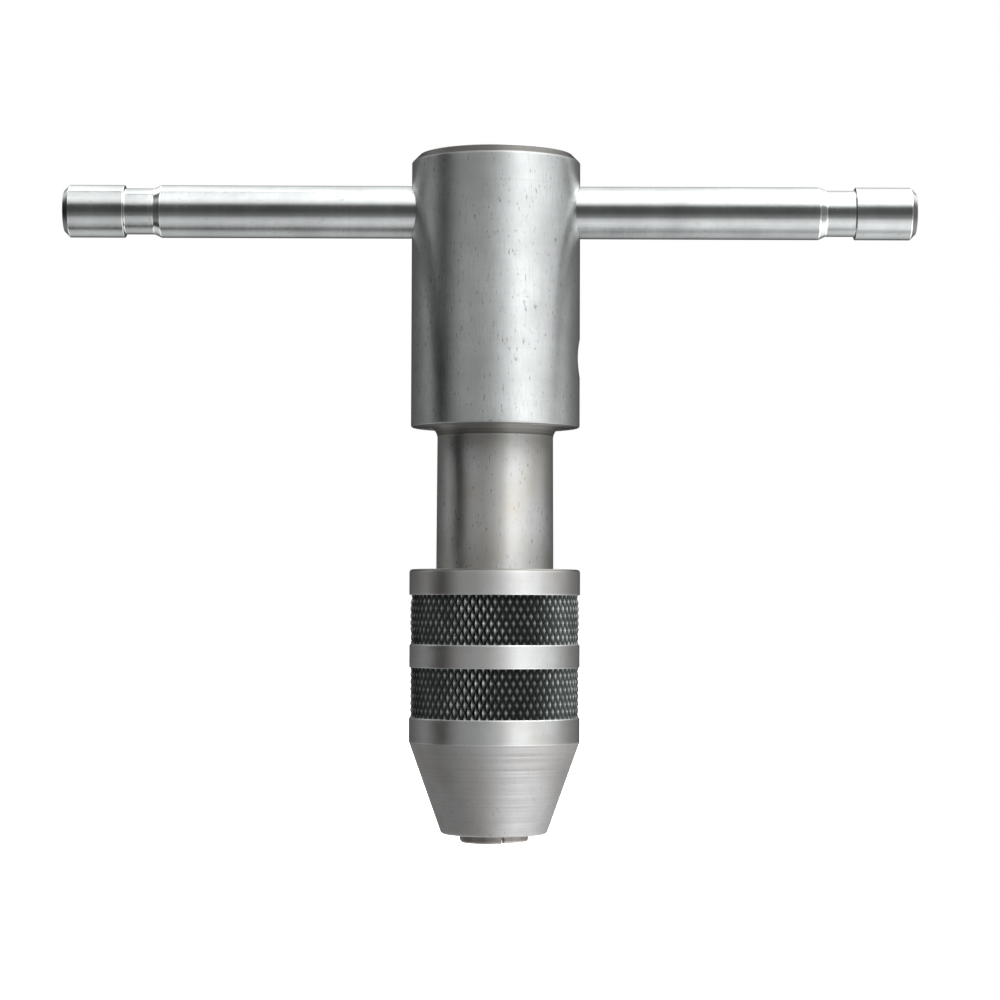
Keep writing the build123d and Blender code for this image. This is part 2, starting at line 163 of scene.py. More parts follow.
# ---- mesh helpers -------------------------------------------------------------------------------------
def filleted(corners):
    """Outline points (radius, height, highlight) from corners (radius, height[, fillet[, highlight]]).

    The highlight value is how brightly the fillet's edge is painted light, 1 unless the corner says less.
    """
    points = []
    last = len(corners) - 1
    for i, corner in enumerate(corners):
        here = Vector(corner[:2])
        fillet = corner[2] if len(corner) > 2 else 0
        edge_highlight = corner[3] if len(corner) > 3 else 1.0
        if fillet == 0 or i in (0, last):
            points.append((here.x, here.y, 0.0))
            continue
        back = (Vector(corners[i - 1][:2]) - here).normalized()
        ahead = (Vector(corners[i + 1][:2]) - here).normalized()
        half = back.angle(ahead) / 2
        centre = here + (back + ahead).normalized() * fillet / math.sin(half)
        start = here + back * fillet / math.tan(half) - centre
        end = here + ahead * fillet / math.tan(half) - centre
        for k in range(FILLET_PIECES + 1):
            along = start.lerp(end, k / FILLET_PIECES).normalized() * fillet + centre
            points.append((along.x, along.y, edge_highlight))
    return points


def refined(points, step):
    """The same outline with rows no further than step apart, and a row where the painted highlight of an edge
    ends.
    """
    rows = []
    for a, b in zip(points, points[1:]):
        length = math.hypot(b[0] - a[0], b[1] - a[1])
        parts = max(1, math.ceil(length / step))
        places = [k / parts for k in range(parts)]
        if length > 4 * HIGHLIGHT_WIDTH and a[2] > 0:
            places.append(HIGHLIGHT_WIDTH / length)
        if length > 4 * HIGHLIGHT_WIDTH and b[2] > 0:
            places.append(1 - HIGHLIGHT_WIDTH / length)
        for t in sorted(places):
            edge_highlight = a[2] if t == 0 else 0.0
            rows.append((a[0] + (b[0] - a[0]) * t, a[1] + (b[1] - a[1]) * t, edge_highlight))
    rows.append(points[-1])
    return rows


def turned_mesh(name, rows, segments):
    """A mesh turned about Z from rows of (radius, height, highlight) in millimetres.

    A row at radius 0 is one point.
    """
    verts, edge_highlights, rings = [], [], []
    for radius, height, edge_highlight in rows:
        if radius < 1e-6:
            rings.append([len(verts)] * segments)
            verts.append((0, 0, height * MM))
            edge_highlights.append(edge_highlight)
            continue
        rings.append(list(range(len(verts), len(verts) + segments)))
        for k in range(segments):
            angle = 2 * math.pi * k / segments
            verts.append((radius * MM * math.cos(angle), radius * MM * math.sin(angle), height * MM))
            edge_highlights.append(edge_highlight)
    faces = []
    for low, high in zip(rings, rings[1:]):
        for k in range(segments):
            m = (k + 1) % segments
            face = [low[k], low[m], high[m], high[k]]
            faces.append(list(dict.fromkeys(face)))
    return finished_mesh(name, verts, faces, edge_highlights)


def finished_mesh(name, verts, faces, edge_highlights, sharp_deg=SHARP_DEG):
    mesh = bpy.data.meshes.new(name)
    mesh.from_pydata(verts, [], faces)
    work = bmesh.new()
    work.from_mesh(mesh)
    bmesh.ops.recalc_face_normals(work, faces=work.faces)
    work.to_mesh(mesh)
    work.free()
    # the painted highlight of each point, read by the material
    edge_highlight = mesh.attributes.new("edge_highlight", "FLOAT", "POINT")
    edge_highlight.data.foreach_set("value", edge_highlights)
    mesh.shade_smooth()
    mesh.set_sharp_from_angle(angle=math.radians(sharp_deg))
    return mesh


def add_object(name, mesh):
    piece = bpy.data.objects.new(name, mesh)
    bpy.context.scene.collection.objects.link(piece)
    return piece


def turned_piece(name, corners, step=1.5, segments=SEGMENTS):
    rows = refined(filleted(corners), step)
    return add_object(name, turned_mesh(name, rows, segments))


def cut(piece, cutters):
    """Takes the cutters' shapes out of the piece and leaves a plain mesh."""
    for cutter in cutters:
        boolean = piece.modifiers.new("cut", "BOOLEAN")
        boolean.operation = "DIFFERENCE"
        boolean.solver = "EXACT"
        boolean.object = cutter
    evaluated = piece.evaluated_get(bpy.context.evaluated_depsgraph_get())
    mesh = bpy.data.meshes.new_from_object(evaluated)
    piece.modifiers.clear()
    piece.data = mesh
    mesh.shade_smooth()
    mesh.set_sharp_from_angle(angle=math.radians(SHARP_DEG))
    for cutter in cutters:
        bpy.data.objects.remove(cutter, do_unlink=True)


def round_cutter(name, stations, turn, place):
    """A closed cutter along Z from stations of (radius, height), turned and then placed.

    A height may be a function of the angle.
    """
    segments = CUTTER_SEGMENTS
    verts, faces = [], []
    for radius, height in stations:
        for k in range(segments):
            angle = 2 * math.pi * k / segments
            z = height(angle) if callable(height) else height
            verts.append((radius * MM * math.cos(angle), radius * MM * math.sin(angle), z * MM))
    for i in range(len(stations) - 1):
        for k in range(segments):
            m = (k + 1) % segments
            low, high = i * segments, (i + 1) * segments
            faces.append([low + k, low + m, high + m, high + k])
    faces.append(list(range(segments))[::-1])
    faces.append(list(range(len(verts) - segments, len(verts))))
    # the holes' walls and rims get a painted highlight
    mesh = finished_mesh(name, verts, faces, [CUT_HIGHLIGHT] * len(verts))
    mesh.transform(Matrix.Translation(Vector(place) * MM) @ turn)
    return add_object(name, mesh)


def side_of_head(radius, sign=1, further=0.0):
    """How far out along a radial hole the head's round side lies, at each angle of the hole's rim.

    The hole's own X runs along the head's axis after the turn, and its Y across it.
    """
    return lambda angle: sign * (math.sqrt(HEAD_R**2 - (radius * math.sin(angle)) ** 2) + further)


def box_cutter(name, low, high, spin_deg):
    """A box between two corners, turned about Z."""
    verts = []
    for z in (low[2], high[2]):
        for y in (low[1], high[1]):
            verts += [(low[0] * MM, y * MM, z * MM), (high[0] * MM, y * MM, z * MM)]
    faces = [[0, 2, 3, 1], [4, 5, 7, 6], [0, 1, 5, 4], [2, 6, 7, 3], [0, 4, 6, 2], [1, 3, 7, 5]]
    mesh = finished_mesh(name, verts, faces, [0.0] * len(verts))
    mesh.transform(Matrix.Rotation(math.radians(spin_deg), 4, "Z"))
    return add_object(name, mesh)


TURN_TO_X = Matrix.Rotation(math.radians(90), 4, "Y")
TURN_TO_Y = Matrix.Rotation(math.radians(-90), 4, "X") @ Matrix.Rotation(math.radians(90), 4, "Z")


# ---- materials ----------------------------------------------------------------------------------------
class NodeTree:
    """Short names for building a node tree."""

    def __init__(self, tree):
        self.tree = tree

    def add(self, kind, **settings):
        node = self.tree.nodes.new(kind)
        for key, value in settings.items():
            setattr(node, key, value)
        return node

    def link(self, source, target):
        self.tree.links.new(source, target)

    def ramp(self, source, stops, interpolation="LINEAR"):
        """Grey between stops of (position, grey)."""
        node = self.add("ShaderNodeValToRGB")
        node.color_ramp.interpolation = interpolation
        elements = node.color_ramp.elements
        while len(elements) < len(stops):
            elements.new(0.5)
        for element, (position, grey) in zip(elements, stops):
            element.position = position
            element.color = (grey, grey, grey, 1)
        self.link(source, node.inputs["Fac"])
        return node.outputs["Color"]

    def math(self, operation, a, b=None, c=None, clamp=False):
        node = self.add("ShaderNodeMath", operation=operation, use_clamp=clamp)
        for socket, value in zip(node.inputs, (a, b, c)):
            if value is None:
                continue
            if isinstance(value, (int, float)):
                socket.default_value = value
            else:
                self.link(value, socket)
        return node.outputs["Value"]


class Nodes(NodeTree):
    """A new material and short names for building its nodes."""

    def __init__(self, name):
        self.material = bpy.data.materials.new(name)
        self.material.use_nodes = True
        super().__init__(self.material.node_tree)
        self.shader = self.tree.nodes["Principled BSDF"]
        self.coords = self.tree.nodes.new("ShaderNodeTexCoord").outputs["Object"]

    def noise(self, per_mm, detail=3.0, roughness=0.6):
        """Noise whose frequency along X, Y and Z is per_mm."""
        mapping = self.add("ShaderNodeMapping")
        mapping.inputs["Scale"].default_value = [value / MM for value in per_mm]
        self.link(self.coords, mapping.inputs["Vector"])
        texture = self.add("ShaderNodeTexNoise")
        texture.inputs["Scale"].default_value = 1.0
        texture.inputs["Detail"].default_value = detail
        texture.inputs["Roughness"].default_value = roughness
        self.link(mapping.outputs["Vector"], texture.inputs["Vector"])
        return texture.outputs["Fac"]

    def mix(self, factor, a, b):
        node = self.add("ShaderNodeMix", data_type="RGBA")
        for socket, value in ((node.inputs[0], factor), (node.inputs[6], a), (node.inputs[7], b)):
            if isinstance(value, (int, float)):
                socket.default_value = value
            elif isinstance(value, tuple):
                socket.default_value = (*value, 1)
            else:
                self.link(value, socket)
        return node.outputs[2]

    def attribute(self, name):
        return self.add("ShaderNodeAttribute", attribute_name=name).outputs["Fac"]

    def bump(self, height, strength, depth_mm, below=None):
        node = self.add("ShaderNodeBump")
        node.inputs["Strength"].default_value = strength
        node.inputs["Distance"].default_value = depth_mm * MM
        self.link(height, node.inputs["Height"])
        if below is not None:
            self.link(below, node.inputs["Normal"])
        return node.outputs["Normal"]


def scaled(tone, by):
    """A tone with each channel multiplied: by is one factor, or one for each channel."""
    factors = by if isinstance(by, tuple) else (by, by, by)
    return tuple(value * factor for value, factor in zip(tone, factors))


def lathe_nodes(name, tone, roughness, anisotropy, lines, streaks, pits, warm=0.0, axis="Z", dull=None):
    """Turned steel: fine tool lines round its axis, streaks along it, pits, smudges, painted highlights on
    its edges and painted shade outside a range of heights.

    tone is the clean metal's colour, lines, streaks and pits are how strong those marks are, and warm adds a
    brown tint in patches. The painted shade argument is a range of heights in millimetres and a grey: outside
    that range the steel is painted that grey as shade, and is rougher.
    has that grey and is rougher, as it left the lathe.
    """
    n = Nodes(name)
    n.shader.inputs["Metallic"].default_value = 1.0
    n.shader.inputs["Anisotropic"].default_value = anisotropy
    n.shader.inputs["Anisotropic Rotation"].default_value = 0.25
    tangent = n.add("ShaderNodeTangent", direction_type="RADIAL", axis=axis)
    n.link(tangent.outputs["Tangent"], n.shader.inputs["Tangent"])
    if axis == "X":
        around, lengthways, dashes = (14.0, 0.05, 0.05), (0.25, 5.0, 5.0), (0.9, 2.8, 2.8)
    else:
        around, lengthways, dashes = (0.05, 0.05, 14.0), (5.0, 5.0, 0.35), (2.8, 2.8, 0.9)
    tool_lines = n.noise(around, detail=4.0, roughness=0.7)
    wide_lines = n.noise([value / 6 for value in around], detail=2.0)
    grain = n.noise(lengthways, detail=3.0, roughness=0.65)
    smudge = n.noise((0.12, 0.12, 0.12), detail=4.0, roughness=0.55)
    speck = n.noise(dashes, detail=2.0)
    dark = scaled(tone, 0.72)

    colour = n.mix(n.ramp(smudge, [(0.3, 0.0), (0.75, 1.0)]), dark, tone)
    line_mask = n.math("MULTIPLY", n.ramp(tool_lines, [(0.35, 1.0), (0.6, 0.0)]), 0.35 * lines)
    colour = n.mix(line_mask, colour, dark)
    streak_mask = n.math("MULTIPLY", n.ramp(grain, [(0.36, 1.0), (0.5, 0.0)]), 0.6 * streaks)
    colour = n.mix(streak_mask, colour, dark)
    pit_mask = n.ramp(speck, [(0.28, 1.0), (0.37, 0.0)])
    colour = n.mix(n.math("MULTIPLY", pit_mask, pits), colour, scaled(tone, 0.3))
    if warm:
        warm_mask = n.math("MULTIPLY", n.ramp(smudge, [(0.4, 1.0), (0.6, 0.0)]), warm)
        colour = n.mix(warm_mask, colour, scaled(tone, (0.95, 0.8, 0.62)))
    rough = n.math("MULTIPLY", n.ramp(wide_lines, [(0.3, 0.8), (0.7, 1.2)]), roughness)

    # painted shade: outside the range of heights the colour turns to a darker grey
    if dull is not None:
        low_z, high_z, grey = dull
        split = n.add("ShaderNodeSeparateXYZ")
        n.link(n.coords, split.inputs["Vector"])
        above = n.math("GREATER_THAN", split.outputs["Z"], high_z * MM)
        below = n.math("LESS_THAN", split.outputs["Z"], low_z * MM)
        outside = n.math("MAXIMUM", above, below)
        dull_dark = scaled((grey, grey, grey), (0.78, 0.74, 0.68))
        dull_light = scaled((grey, grey, grey), (1.25, 1.2, 1.13))
        dull_tone = n.mix(n.ramp(tool_lines, [(0.4, 0.0), (0.6, 1.0)]), dull_dark, dull_light)
        colour = n.mix(outside, colour, dull_tone)
        rough = n.math("ADD", rough, n.math("MULTIPLY", outside, 0.12))

    # painted highlight: the fillets of the edges and the walls and rims of the holes are lightened towards
    # pale grey
    colour = n.mix(n.math("MULTIPLY", n.attribute("edge_highlight"), 0.7), colour, (0.86, 0.86, 0.85))
    n.link(colour, n.shader.inputs["Base Color"])
    smudge_rough = n.math("MULTIPLY", n.ramp(smudge, [(0.4, 0.0), (0.8, 1.0)]), 0.06)
    rough = n.math("ADD", rough, smudge_rough)
    rough = n.math("ADD", rough, n.math("MULTIPLY", grain, 0.08 * streaks), clamp=True)
    n.link(rough, n.shader.inputs["Roughness"])
    normal = n.bump(tool_lines, 0.25 * lines, 0.02)
    normal = n.bump(grain, 0.30 * streaks, 0.02, below=normal)
    normal = n.bump(pit_mask, 0.5 * pits, -0.02, below=normal)
    n.link(normal, n.shader.inputs["Normal"])
    return n, colour, rough


def lathe_steel(name, tone, roughness, **marks):
    n, _, _ = lathe_nodes(name, tone, roughness, **marks)
    return n.material


def sleeve_steel():
    """Turned bands, and knurling that is black with oil and painted shade in its grooves and bright with wear
    and painted glints on its crests.
    """
    n, plain_colour, plain_rough = lathe_nodes(
        "sleeve_steel",
        (0.71, 0.715, 0.712),
        0.42,
        anisotropy=0.95,
        lines=0.5,
        streaks=0.15,
        pits=0.2,
        warm=0.2,
        # painted shade: the top rim darker grey
        dull=(0, SLEEVE_TOP_Z - 0.3, 0.30),
    )
    knurled = n.attribute("knurl")
    height = n.attribute("crest")
    patch = n.noise((0.35, 0.35, 0.35), detail=3.0)
    grit = n.noise((2.5, 2.5, 2.5), detail=3.0)
    # painted shade and glint: grooves near-black (oil and painted shade), crests pale (wear and painted
    # glints)
    groove_oil_and_shade = n.mix(grit, (0.028, 0.033, 0.030), (0.095, 0.104, 0.098))
    crest_wear_and_glint = n.mix(grit, (0.16, 0.17, 0.165), (0.52, 0.53, 0.52))
    crest = n.math("ADD", height, n.math("MULTIPLY", n.math("SUBTRACT", patch, 0.5), 0.9))
    knurl_colour = n.mix(n.ramp(crest, [(0.45, 0.0), (0.95, 1.0)]), groove_oil_and_shade, crest_wear_and_glint)
    n.link(n.mix(knurled, plain_colour, knurl_colour), n.shader.inputs["Base Color"])
    knurl_rough = n.ramp(height, [(0.2, 0.55), (0.9, 0.36)])
    n.link(n.mix(knurled, plain_rough, knurl_rough), n.shader.inputs["Roughness"])
    return n.material


def plain_steel(name, tone, roughness, grain=(4.0, 4.0, 4.0), bump=0.3):
    """Ground, hardened or drawn steel with fine grain and darker specks."""
    n = Nodes(name)
    n.shader.inputs["Metallic"].default_value = 1.0
    fine = n.noise(grain, detail=4.0, roughness=0.7)
    broad = n.noise((0.4, 0.4, 0.4), detail=3.0)
    dark = scaled(tone, 0.55)
    colour = n.mix(n.ramp(broad, [(0.3, 0.0), (0.7, 1.0)]), dark, tone)
    colour = n.mix(n.ramp(fine, [(0.35, 0.6), (0.55, 0.0)]), colour, dark)
    n.link(colour, n.shader.inputs["Base Color"])
    rough = n.math("MULTIPLY", n.ramp(fine, [(0.3, 0.8), (0.7, 1.2)]), roughness)
    n.link(rough, n.shader.inputs["Roughness"])
    n.link(n.bump(fine, bump, 0.02), n.shader.inputs["Normal"])
    return n.material


def paint(piece, material):
    piece.data.materials.clear()
    piece.data.materials.append(material)


head_steel = lathe_steel(
    "head_steel",
    (0.745, 0.76, 0.75),
    0.38,
    anisotropy=1.0,
    lines=0.2,
    streaks=1.0,
    pits=0.75,
    # painted shade: the chamfer, the top and the underside darker grey
    dull=(HEAD_Z + 0.05, HEAD_TOP_Z - HEAD_CHAMFER - 0.05, 0.20),
)
bar_steel = lathe_steel(
    "bar_steel", (0.61, 0.625, 0.618), 0.19, anisotropy=0.5, lines=0.6, streaks=0.3, pits=0.25, axis="X"
)
spindle_steel = lathe_steel(
    "spindle_steel",
    (0.72, 0.72, 0.705),
    0.38,
    anisotropy=1.0,
    lines=0.4,
    streaks=0.6,
    pits=0.75,
    warm=0.25,
    # painted shade: the flare and flange up under the head darker grey
    dull=(0, HEAD_Z - 1.35, 0.33),
)
knurled_steel = sleeve_steel()
cone_steel = lathe_steel(
    "cone_steel", (0.62, 0.61, 0.605), 0.57, anisotropy=0.2, lines=0.3, streaks=0.15, pits=0.3, warm=0.1
)
jaw_steel = plain_steel("jaw_steel", (0.80, 0.74, 0.69), 0.62, grain=(6.0, 6.0, 0.8))
hard_steel = plain_steel("hard_steel", (0.34, 0.34, 0.33), 0.35)
spring_steel = plain_steel("spring_steel", (0.36, 0.36, 0.35), 0.30)
ball_steel = plain_steel("ball_steel", (0.75, 0.75, 0.75), 0.08, bump=0.05)
black_oxide = plain_steel("black_oxide", (0.035, 0.035, 0.037), 0.45)


# ---- head ---------------------------------------------------------------------------------------------
def make_head():
    ring_r = ring_high[0] + RING_CLEARANCE
    piece = turned_piece(
        "head_shell",
        [
            (0, STUB_BORE_TOP_Z),
            (STUB_BORE_R, STUB_BORE_TOP_Z),
            (STUB_BORE_R, ring_high[2] + RING_CLEARANCE),
            (ring_r, ring_high[2] + RING_CLEARANCE),
            (ring_r, ring_low[2] - RING_CLEARANCE),
            (STUB_BORE_R, ring_low[2] - RING_CLEARANCE),
            (STUB_BORE_R, washer_high[2]),
            (FLANGE_R + RING_CLEARANCE, washer_high[2]),
            (FLANGE_R + RING_CLEARANCE, HEAD_Z, 0.15),
            (HEAD_R, HEAD_Z, 0.3, 0.0),
            (HEAD_R, HEAD_TOP_Z - HEAD_CHAMFER, 0.25),
            (HEAD_R - HEAD_CHAMFER, HEAD_TOP_Z, 0.25),
            (0, HEAD_TOP_Z),
        ],
    )
    hole_r = BAR_R + RUNNING
    wide = hole_r + HOLE_RIM * 1.4
    cross_hole = round_cutter(
        "cross_hole",
        [
            (wide, -FAR),
            (wide, side_of_head(wide, -1, HOLE_RIM * 0.4)),
            (hole_r, side_of_head(hole_r, -1, -HOLE_RIM)),
            (hole_r, side_of_head(hole_r, 1, -HOLE_RIM)),
            (wide, side_of_head(wide, 1, HOLE_RIM * 0.4)),
            (wide, FAR),
        ],
        TURN_TO_X,
        (0, 0, BAR_Z),
    )
    bore_r = SELECTOR_BORE_R
    groove_r = selector_ring_high[1]
    groove_x = (selector_ring_low[0] - GROOVE_END_CLEARANCE, selector_ring_high[0] + GROOVE_END_CLEARANCE)
    outer = bore_r + SELECTOR_RIM
    selector_bore = round_cutter(
        "selector_bore",
        [
            (bore_r, SELECTOR_BORE_START),
            (bore_r, groove_x[0]),
            (groove_r, groove_x[0]),
            (groove_r, groove_x[1]),
            (bore_r, groove_x[1]),
            (bore_r, side_of_head(bore_r, 1, -0.12)),
            (outer, side_of_head(outer, 1, 0.06)),
            (outer, FAR),
        ],
        TURN_TO_X,
        (0, 0, PAWL_Z),
    )
    detent_r = (ball_high[0] - ball_low[0]) / 2 + RING_CLEARANCE
    screw_r = screw_high[0]
    outer = screw_r + HOLE_RIM
    detent_hole = round_cutter(
        "detent_hole",
        [
            (detent_r, DETENT_HOLE_START),
            (detent_r, screw_low[1]),
            (screw_r, screw_low[1]),
            (screw_r, side_of_head(screw_r, 1, -0.15)),
            (outer, side_of_head(outer, 1, 0.1)),
            (outer, FAR),
        ],
        TURN_TO_Y,
        (0, 0, BAR_Z),
    )
    cut(piece, [cross_hole, selector_bore, detent_hole])
    paint(piece, head_steel)
    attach(piece, "head")
    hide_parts("head")


# ---- cross bar ----------------------------------------------------------------------------------------
def make_bar():
    groove_r = BAR_R - GROOVE_DEPTH
    knob_start = BAR_HALF - KNOB_LENGTH
    groove_outer = knob_start - SHOULDER_LENGTH
    groove_inner = groove_outer - GROOVE_LENGTH
    half = [
        (BAR_R, groove_inner - RAMP_LENGTH, 0.4),
        (groove_r, groove_inner, 0.4),
        (groove_r, groove_outer, 0.06),
        (BAR_R, knob_start, 0.08),
        (BAR_R, BAR_HALF - BAR_CHAMFER, 0.2),
        (BAR_R - BAR_CHAMFER, BAR_HALF, 0.15),
        (0, BAR_HALF),
    ]
    other = [(corner[0], -corner[1], *corner[2:]) for corner in reversed(half)]
    piece = turned_piece("cross_bar", other + half, step=2.0, segments=160)
    piece.data.transform(Matrix.Translation(Vector((BAR_X, 0, BAR_Z)) * MM) @ TURN_TO_X)
    paint(piece, bar_steel)
    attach(piece, "handle_bar")
    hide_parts("handle_bar")


# ---- spindle ------------------------------------------------------------------------------------------
def flare_corners():
    """The concave flare from the flange's edge down to the neck."""
    edge_r = FLANGE_R - FLANGE_EDGE
    width = edge_r - NECK_TOP_R
    drop = math.sqrt(FLARE_R**2 - (FLARE_R - width) ** 2)
    top_angle = math.atan2(drop, FLARE_R - width)
    corners = []
    for k in range(FLARE_PIECES + 1):
        angle = top_angle * (1 - k / FLARE_PIECES)
        radius = NECK_TOP_R + FLARE_R * (1 - math.cos(angle))
        corners.append((radius, HEAD_Z - drop + FLARE_R * math.sin(angle)))
    return corners


def make_spindle():
    low_z = spindle_low[2]
    corners = [
        (0, spindle_high[2]),
        (STUB_R, spindle_high[2], 0.2),
        (STUB_R, ring_high[2] + RING_CLEARANCE),
        (SPINDLE_RING_INNER_R, ring_high[2] + RING_CLEARANCE),
        (SPINDLE_RING_INNER_R, ring_low[2] - RING_CLEARANCE),
        (STUB_R, ring_low[2] - RING_CLEARANCE),
        (STUB_R, washer_low[2] - RING_CLEARANCE),
        (FLANGE_R, washer_low[2] - RING_CLEARANCE),
        (FLANGE_R, HEAD_Z + FLANGE_EDGE),
        *flare_corners(),
        (NECK_R, SLEEVE_TOP_Z),
        (NECK_R, UNDERCUT_Z[1]),
        (UNDERCUT_R, UNDERCUT_Z[1]),
        (UNDERCUT_R, UNDERCUT_Z[0]),
        (NECK_R, UNDERCUT_Z[0]),
        (NECK_R, low_z, 0.3),
        (SHANK_BORE_R, low_z, 0.2),
        (SHANK_BORE_R, SHANK_BORE_TOP_Z),
        (0, SHANK_BORE_TOP_Z + DRILL_POINT),
    ]
    piece = turned_piece("spindle_body", corners)
    cutters = []
    for tooth in range(RATCHET_TEETH):
        cutters.append(
            box_cutter(
                f"notch_{tooth}",
                (NOTCH_FLOOR_R, -NOTCH_WIDTH / 2, PAWL_Z - NOTCH_HALF_LENGTH),
                (STUB_R + PAST, NOTCH_WIDTH / 2, PAWL_Z + NOTCH_HALF_LENGTH),
                tooth * 360 / RATCHET_TEETH,
            )
        )
    half = CARRIER_SLOT_WIDTH / 2
    for direction in (0, 90):
        cutters.append(
            box_cutter(
                f"slot_{direction}",
                (-FAR, -half, low_z - PAST),
                (FAR, half, CARRIER_SLOT_TOP_Z),
                JAW_1_ANGLE + direction,
            )
        )
    cut(piece, cutters)
    paint(piece, spindle_steel)
    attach(piece, "spindle")
    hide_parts("spindle")


# ---- knurled sleeve -----------------------------------------------------------------------------------
def knurl_height(column, row):
    """Height of the knurling, 0 in a groove to 1 on a crest, at a place on its grid."""
    heights = []
    for family in (column + row, column - row):
        phase = (family % KNURL_STEPS) / KNURL_STEPS
        heights.append(1 - abs(2 * phase - 1))
    return min(min(heights) / KNURL_FLAT, 1.0)


def knurl_rows(low, high, fade):
    """Rows of a knurled zone as (crest radius, height, highlight, grid row).

    Its crests come down towards its top, over the length fade.
    """
    rows = []
    for k in range(KNURL_ROWS + 1):
        height = low + (high - low) * k / KNURL_ROWS
        radius = KNURL_CREST_R
        if fade and high - height < fade:
            near = 1 - (high - height) / fade
            radius -= (KNURL_CREST_R - KNURL_START_R) * near
        rows.append((radius, height, 0.0, k))
    return rows


def sleeve_rows():
    """The sleeve's closed outline as rows of (radius, height, highlight, grid row or None where it is plain).
    """
    cone_top = NOSE_Z + CONE_LENGTH
    lines = [cone_top + BAND_3]
    for length in (KNURL_2, BAND_2, KNURL_1):
        lines.append(lines[-1] + length)
    k2_low, k2_high, k1_low, k1_high = lines
    floor_r = KNURL_CREST_R - KNURL_DEPTH
    groove_r = stop_high[0] + RING_CLEARANCE
    groove_z = (stop_low[2] - RING_CLEARANCE, stop_high[2] + RING_CLEARANCE)

    def plain(corners, step=0.7):
        return [(*row, None) for row in refined(filleted(corners), step)]

    rows = plain(
        [
            (CONE_BORE_R, NOSE_Z),
            (NOSE_R, NOSE_Z, 0.6, 0.0),
            (BAND_R, cone_top, 0.15),
            (BAND_R, k2_low, BAND_EDGE),
            (floor_r, k2_low),
        ]
    )
    rows += knurl_rows(k2_low, k2_high, 0.0)
    rows += plain(
        [
            (floor_r, k2_high),
            (BAND_R, k2_high, BAND_EDGE),
            (BAND_R, k1_low, BAND_EDGE),
            (floor_r, k1_low),
        ]
    )
    rows += knurl_rows(k1_low, k1_high, KNURL_RUNOUT)
    rows += plain(
        [
            (floor_r - 0.05, k1_high),
            (BAND_R, k1_high, BAND_EDGE),
            (BAND_R, SLEEVE_TOP_Z, 0.45, 0.0),
            (SLEEVE_BORE_R + BORE_CHAMFER, SLEEVE_TOP_Z),
        ]
    )
    rows += plain(
        [
            (SLEEVE_BORE_R, SLEEVE_TOP_Z - BORE_CHAMFER),
            (SLEEVE_BORE_R, groove_z[1]),
            (groove_r, groove_z[1]),
            (groove_r, groove_z[0]),
            (SLEEVE_BORE_R, groove_z[0]),
            (SLEEVE_BORE_R, NOSE_Z + (SLEEVE_BORE_R - CONE_BORE_R) / CONE_BORE_SLOPE),
            (CONE_BORE_R + CONE_BORE_SLOPE * NOSE_BORE_CHAMFER, NOSE_Z + NOSE_BORE_CHAMFER),
        ],
        step=FAR,
    )
    return rows


def make_sleeve():
    rows = sleeve_rows()
    columns = KNURL_AROUND * KNURL_STEPS
    verts, faces, edge_highlights, knurls, crests = [], [], [], [], []
    for radius, height, edge_highlight, grid_row in rows:
        for column in range(columns):
            crest = 0.0
            r = radius
            if grid_row is not None:
                crest = knurl_height(column, grid_row)
                crest = max(0.0, crest - random.uniform(0, KNURL_DAMAGE))
                r = radius - KNURL_DEPTH * (1 - crest)
            angle = 2 * math.pi * column / columns
            verts.append((r * MM * math.cos(angle), r * MM * math.sin(angle), height * MM))
            edge_highlights.append(edge_highlight)
            knurls.append(0.0 if grid_row is None else 1.0)
            crests.append(crest)
    for i in range(len(rows)):
        following = (i + 1) % len(rows)
        grid_row = rows[i][3]
        on_grid = grid_row is not None and rows[following][3] is not None
        for column in range(columns):
            beside = (column + 1) % columns
            a, b = i * columns + column, i * columns + beside
            d, c = following * columns + column, following * columns + beside
            if on_grid and (column + grid_row + 1) % KNURL_STEPS == 0:
                faces += [[a, b, d], [b, c, d]]
            elif on_grid and (column - grid_row) % KNURL_STEPS == 0:
                faces += [[a, b, c], [a, c, d]]
            else:
                faces.append([a, b, c, d])
    mesh = finished_mesh("sleeve_knurled", verts, faces, edge_highlights, KNURL_SHARP_DEG)
    for name, values in (("knurl", knurls), ("crest", crests)):
        attribute = mesh.attributes.new(name, "FLOAT", "POINT")
        attribute.data.foreach_set("value", values)
    piece = add_object("sleeve_knurled", mesh)
    paint(piece, knurled_steel)
    mesh.materials.append(cone_steel)
    cone_end = (NOSE_Z + CONE_LENGTH - 0.05) * MM
    for face in mesh.polygons:
        face.material_index = int(face.center.z < cone_end)
    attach(piece, "sleeve")
    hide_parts("sleeve")


# ---- springs, copied onto meshes of their own ---------------------------------------------------------
def make_spring(node, body, axis):
    """A spring along axis (0 for X, 1 for Y), copied onto its own mesh, painted and attached to body; the
    outer end that it finds is not used.
    """
    low, high = box_mm(node)
    piece = add_object(f"{node}_coil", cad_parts[node].data.copy())
    paint(piece, spring_steel)
    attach(piece, body)
    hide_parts(node)
    anchor = [(low[k] + high[k]) / 2 * MM for k in range(3)]
    anchor[axis] = high[axis] * MM
    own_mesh(piece)


# ---- materials of the pieces that stay as the frame has them ------------------------------------------
KEPT = {
    "detent_ball": ball_steel,
    "detent_screw": black_oxide,
    "pawl_selector": hard_steel,
    "selector_ring": spring_steel,
    "pawl": hard_steel,
    "spindle_ring": spring_steel,
    "thrust_washer": hard_steel,
    "sleeve_stop_ring": spring_steel,
}
for jaw_number in range(1, 5):
    KEPT[f"jaw_{jaw_number}"] = jaw_steel
    KEPT[f"jaw_spring_{jaw_number}"] = spring_steel


def paint_kept():
    for node, material in KEPT.items():
        for material_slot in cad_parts[node].material_slots:
            material_slot.material = material


